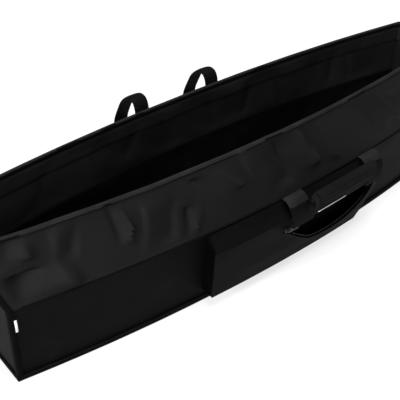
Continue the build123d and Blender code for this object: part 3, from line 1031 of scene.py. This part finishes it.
def makeGripPad():
    piece = tapeSolid("gripPad", 30, 28)
    length = handleLook["gripLength"] + padLook["longer"]

    def laid(p):
        angle = math.atan2(p.z, p.y)
        size = min(1.0, math.hypot(p.y, p.z))
        out, up = gripSection(angle, -padLook["shrink"])
        pull = 1 - padLook["endPull"] * abs(2 * p.x - 1) ** 8
        out, up = out * size * pull, up * size * pull
        return gripPoint((p.x - 0.5) * length, out, up)

    lay(piece, laid)
    tidyNormals(piece)
    swellPad(piece)
    finishWith(piece, ("SUBSURF", {"levels": 1, "render_levels": 1}))
    weave = piece.data.attributes.get("weave") or piece.data.attributes.new("weave", "FLOAT_VECTOR", "POINT")
    for vertex in piece.data.vertices:
        local = vertex.co - handleRoot
        along = local.dot(handleAlong)
        angle = math.atan2(local.z - handleLook["gripUp"] * mm, local.dot(handleOut) - handleLook["gripOut"] * mm)
        weave.data[vertex.index].vector = Vector((along, angle * padLook["girth"], 0))
    dress(piece, "handle", [gripCloth], ["grip_wrap"])
    return piece


makeGripPad()

flapLook = {
    "gap": 1.7, "thick": 1.5, "top": math.radians(100), "low": math.radians(16), "lip": 1.5,
    "cornerCut": math.radians(30), "ripple": 0.35, "shorter": 0.6, "bevel": 0.45,
}


def makeFlap():
    piece = flatSheet("gripFlap", 60, 24)
    length = handleLook["gripLength"] - flapLook["shorter"]

    def laid(p):
        lowEdge = flapLook["low"] + flapLook["cornerCut"] * smooth(0.88, 1.0, p.x)
        angle = flapLook["top"] + (lowEdge - flapLook["top"]) * p.y
        ripple = noise.noise(Vector((p.x * 5, p.y * 2, 4.0))) * flapLook["ripple"]
        stand = ripple + flapLook["lip"] * smooth(0.7, 1.0, p.y)
        out, up = gripSection(angle, flapLook["gap"] + stand * smooth(0.0, 0.3, p.y))
        return gripPoint((p.x - 0.5) * length, out, up)

    lay(piece, laid, lambda p: Vector((p.x * 125, p.y * 34, 0)) * mm)
    finishWith(
        piece, ("SOLIDIFY", {"thickness": flapLook["thick"] * mm, "offset": 0}),
        ("BEVEL", {
            "width": flapLook["bevel"] * mm, "segments": 2, "limit_method": "ANGLE", "angle_limit": math.radians(60),
        }),
    )
    tidyNormals(piece)
    return dress(piece, "grip_flap", [gripCloth], ["grip_flap"])


makeFlap()


hookLook = {"length": 101, "width": 4.0, "thick": 0.7, "out": 10.4, "up": 1}


def makeHookPatch():
    look = hookLook

    def place(t, across, out):
        up = handleLook["gripUp"] + look["up"] + across
        return handlePoint((t - 0.5) * look["length"], handleLook["gripOut"] + look["out"] + out, up)

    piece = makeTape("hookPatch", 40, look["length"], look["width"], look["thick"], place, sides=12)
    return dress(piece, "handle", [hookCloth], ["grip_hook_patch"])


makeHookPatch()

stripLook = {"start": -60.5, "length": 56.0, "angle": -50, "width": 4.6, "thick": 0.7, "out": 0.6, "girth": 13.0}


def makePaleStrip():
    # a blank pale tape sewn along the grip's lower front edge
    def place(t, across, out):
        angle = math.radians(stripLook["angle"]) + across / stripLook["girth"]
        sectionOut, sectionUp = gripSection(angle, stripLook["out"] + out)
        along = stripLook["start"] + t * stripLook["length"]
        return gripPoint(along, sectionOut, sectionUp)

    length, width, thick = stripLook["length"], stripLook["width"], stripLook["thick"]
    piece = makeTape("paleStrip", 30, length, width, thick, place, sides=12)
    return dress(piece, "handle", [paleTape], ["reflective_strip"])


makePaleStrip()
print("handle made")

# hanging loops on the back, and the sewn patches
loopLook = {
    "width": 25.0, "thick": 2.1, "length": 200, "flare": 7.0, "curl": 0.8, "sewnOut": 3.4,
    "spots": {"left": -94.5, "right": 40.5},
    "route": [
        (3.2, -8), (3.2, -2), (5.2, 6.5), (10, 13), (18, 15.2), (26, 13.7), (33, 9), (39.4, 1), (44.4, -10),
        (48.8, -21), (52.6, -32), (54, -44), (48, -56), (34, -62), (17, -57), (5.6, -45),
    ],
}


def makeLoop(name, node, x):
    rim = bagShape["rim"]["z"]
    rimY = wallPoint(x, rim, back).y / mm
    route = [(rimY + out, rim + up) for out, up in loopLook["route"]]
    for drop in (34, 25, 16):
        route.append((wallPoint(x, rim - drop, back, loopLook["sewnOut"]).y / mm, rim - drop))

    def place(t, across, out):
        spot, run = smoothRoute(route, t)
        normal = Vector((-run.y, run.x))
        curl = loopLook["curl"] * (2 * across / loopLook["width"]) ** 2
        spot = spot + normal * (out - curl)
        twist = loopLook["flare"] * smooth(0.25, 0.62, t) * smooth(0.95, 0.7, t)
        return Vector((x + across - twist, spot.x, spot.y)) * mm

    piece = makeTape(name, 130, loopLook["length"], loopLook["width"], loopLook["thick"], place, sides=28)
    return dress(piece, "bag", [webCloth], [node])


patchLook = {
    "loop": {"side": back, "z": 182.0, "out": 0.6, "width": 33, "tall": 20, "thick": 1.0},
    "handle": {"side": front, "z": 139.0, "out": -3.6, "width": 46, "tall": 14, "thick": 1.0},
}


def makePatch(name, node, x, look):
    def place(t, across, lift):
        return wallPoint(x + (t - 0.5) * look["width"], look["z"] + across, look["side"], look["out"] + lift)

    piece = makeTape(name, 20, look["width"], look["tall"], look["thick"], place, sides=20)
    return dress(piece, "bag", [webCloth], [node])


for sideName, x in loopLook["spots"].items():
    makeLoop(f"hangingLoop{sideName.title()}", f"hanging_loop_{sideName}", x)
    makePatch(f"loopPatch{sideName.title()}", f"loop_anchor_{sideName}", x, patchLook["loop"])
for sideName, x in (("left", 4.0), ("right", 169.0)):
    makePatch(f"handlePatch{sideName.title()}", f"handle_anchor_{sideName}", x, patchLook["handle"])
print("loops made")

# stitching
stitchLook = {"long": 3.2, "pitch": 5.0, "wide": 0.55, "tall": 0.4, "bevel": 0.2}


def makeStitches(name, body, length, spotOf):
    # one bead of thread, repeated along a seam; spotOf(along, across, out) gives the place
    piece = makeBlocks(name, int(length / stitchLook["pitch"]), stitchLook["bevel"])

    def laid(p):
        index, along = blockOf(p)
        along = (index + 0.5) * stitchLook["pitch"] + along * stitchLook["long"]
        return spotOf(along, p.y * stitchLook["wide"], p.z * stitchLook["tall"])

    lay(piece, laid)
    tidyNormals(piece)
    return dress(piece, body, [threadCloth])


def wallRow(start, z, side, out):
    return lambda along, across, lift: wallPoint(start + along, z + across, side, out + lift)


# each row's side, start, length, height and stand-off
wallRows = {
    "rimStitchFront": (front, -440, 880, 199.6, 1.25),
    "rimStitchBack": (back, -440, 880, 199.6, 1.25),
    "foldStitchFrontLeft": (front, -402, 250, 130.4, 0.2),
    "foldStitchFrontRight": (front, 202, 190, 130.4, 0.2),
    "foldStitchBack": (back, -400, 800, 130.4, 0.2),
    "baseStitchFront": (front, -415, 830, 8.4, 2.5),
    "baseStitchBack": (back, -415, 830, 8.4, 2.5),
}
for name, (side, start, length, z, out) in wallRows.items():
    makeStitches(name, "bag", length, wallRow(start, z, side, out))

seamRows = {
    "pocketTop": {"below": 3.4, "out": 0.1},
    "lip": {"start": 4, "length": 160, "below": 4.5, "out": 0.1},
    "flap": {"start": -58, "length": 105, "above": 0.24, "girth": 14, "out": 0.7},
    "loop": {"start": -15, "length": 30, "out": 1.15, "heights": {"Low": 174.5, "High": 189.5}},
}


def pocketTopRow(along, across, lift):
    x = pocketLook["left"] + along
    z = pocketLook["seamZ"] - seamRows["pocketTop"]["below"] + across
    return wallPoint(x, z, front, pocketOut(x, z) + seamRows["pocketTop"]["out"] + lift)


makeStitches("pocketTopStitch", "bag", pocketSpan, pocketTopRow)


def lipRow(along, across, lift):
    x = seamRows["lip"]["start"] + along
    z = alongLip(x) - seamRows["lip"]["below"] + across
    return wallPoint(x, z, front, pocketOut(x, z) + seamRows["lip"]["out"] + lift)


makeStitches("lipStitch", "bag", seamRows["lip"]["length"], lipRow)


def flapRow(along, across, lift):
    row = seamRows["flap"]
    angle = flapLook["low"] + row["above"] + across / row["girth"]
    out, up = gripSection(angle, flapLook["gap"] + flapLook["thick"] / 2 + row["out"] + lift)
    return gripPoint(row["start"] + along, out, up)


makeStitches("flapStitch", "grip_flap", seamRows["flap"]["length"], flapRow)
for sideName, x in loopLook["spots"].items():
    for rowName, z in seamRows["loop"]["heights"].items():
        row = wallRow(x + seamRows["loop"]["start"], z, back, seamRows["loop"]["out"])
        makeStitches(f"loopStitch{sideName.title()}{rowName}", "bag", seamRows["loop"]["length"], row)
print("stitches made")

# floor, light and camera
studio = {
    "camera": (-0.6692, -0.7295, 0.7944), "target": (-0.0801, 0.0, 0.0986), "lens": 71.03,
    "world": 0.3, "floor": 0.2, "glow": 0.72,
    "key": {"place": (-3.0, -0.35, 1.0), "target": (0, 0, 0.1), "size": 0.9, "power": 190.0},
    "top": {"place": (0.1, -0.3, 2.6), "target": (0, 0, 0.1), "size": 1.6, "power": 110.0},
}


def aim(thing, target):
    direction = Vector(target) - thing.location
    thing.rotation_euler = direction.to_track_quat("-Z", "Y").to_euler()


clearSelection()
bpy.ops.mesh.primitive_plane_add(size=14, location=(0, 0, -0.0006))
floor = bpy.context.object
floor.name = "floor"
floorMaterial = bpy.data.materials.new("paleFloor")
floorMaterial.use_nodes = True
floorShader = floorMaterial.node_tree.nodes["Principled BSDF"]
floorShader.inputs["Base Color"].default_value = (*(studio["floor"],) * 3, 1)
floorShader.inputs["Emission Color"].default_value = (1, 1, 1, 1)
floorShader.inputs["Emission Strength"].default_value = studio["glow"]
floorShader.inputs["Roughness"].default_value = 0.9
floorShader.inputs["Specular IOR Level"].default_value = 0.1
floor.data.materials.append(floorMaterial)

world = bpy.context.scene.world or bpy.data.worlds.new("studio")
bpy.context.scene.world = world
world.use_nodes = True
world.node_tree.nodes["Background"].inputs["Color"].default_value = (1, 1, 1, 1)
world.node_tree.nodes["Background"].inputs["Strength"].default_value = studio["world"]


def addLight(name, look):
    data = bpy.data.lights.new(name, "AREA")
    data.shape = "SQUARE"
    data.size = look["size"]
    data.energy = look["power"]
    lamp = bpy.data.objects.new(name, data)
    bpy.context.scene.collection.objects.link(lamp)
    lamp.location = look["place"]
    aim(lamp, look["target"])
    return lamp


addLight("keyLight", studio["key"])
addLight("topLight", studio["top"])

cameraData = bpy.data.cameras.new("camera")
cameraData.lens = studio["lens"]
cameraData.sensor_width = 36
camera = bpy.data.objects.new("camera", cameraData)
bpy.context.scene.collection.objects.link(camera)
camera.location = studio["camera"]
aim(camera, studio["target"])
bpy.context.scene.camera = camera
bpy.context.scene.view_settings.view_transform = "Standard"
print("studio set")
